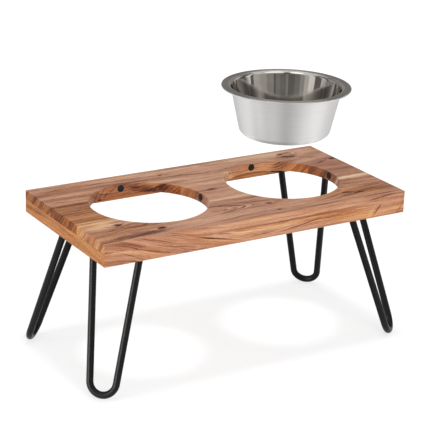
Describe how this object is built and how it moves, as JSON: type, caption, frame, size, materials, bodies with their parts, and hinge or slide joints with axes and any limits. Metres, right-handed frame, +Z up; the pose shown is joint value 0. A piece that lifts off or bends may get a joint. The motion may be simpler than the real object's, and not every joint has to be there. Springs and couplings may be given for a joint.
{
  "type": "elevated dog bowl",
  "caption": "Wooden feeder tray with round cut-outs on splayed hairpin legs, and a flanged steel bowl that lifts out of one of them.",
  "frame": {"origin": "on the floor, under the middle of the tray", "axes": "+X along the tray towards the bowl's end, -Y towards the front, +Z up"},
  "size_m": [0.4624, 0.2278, 0.3331],
  "materials": {
    "panel_wood": "oiled acacia, satin",
    "apron_wood": "oiled acacia, satin",
    "bumper_rubber": "matte",
    "leg_steel": "black powder coat, semi-gloss",
    "screw_steel": "black zinc",
    "bowl_steel": "brushed outside, polished inside"
  },
  "bodies": {
    "stand": {"front_stave": "panel_wood", "back_stave": "panel_wood", "middle_stave_bridge": "panel_wood", "middle_stave_left_end": "panel_wood", "middle_stave_right_end": "panel_wood", "front_apron": "apron_wood", "right_apron": "apron_wood", "back_apron": "apron_wood", "left_apron": "apron_wood", "left_cutout_right_bumper": "bumper_rubber", "left_cutout_back_bumper": "bumper_rubber", "left_cutout_left_bumper": "bumper_rubber", "left_cutout_front_bumper": "bumper_rubber", "right_cutout_right_bumper": "bumper_rubber", "right_cutout_back_bumper": "bumper_rubber", "right_cutout_left_bumper": "bumper_rubber", "right_cutout_front_bumper": "bumper_rubber", "front_left_hairpin_leg": "leg_steel", "front_right_hairpin_leg": "leg_steel", "back_left_hairpin_leg": "leg_steel", "back_right_hairpin_leg": "leg_steel", "front_left_leg_pads": "leg_steel", "front_right_leg_pads": "leg_steel", "back_left_leg_pads": "leg_steel", "back_right_leg_pads": "leg_steel", "front_left_leg_screws": "screw_steel", "front_right_leg_screws": "screw_steel", "back_left_leg_screws": "screw_steel", "back_right_leg_screws": "screw_steel"},
    "bowl": {"bowl": "bowl_steel"}
  },
  "joints": [
    {"name": "bowl_lift", "type": "slide", "parent": "stand", "child": "bowl", "axis": [0, 0, 1], "range_m": [-0.126, 0.054]}
  ]
}
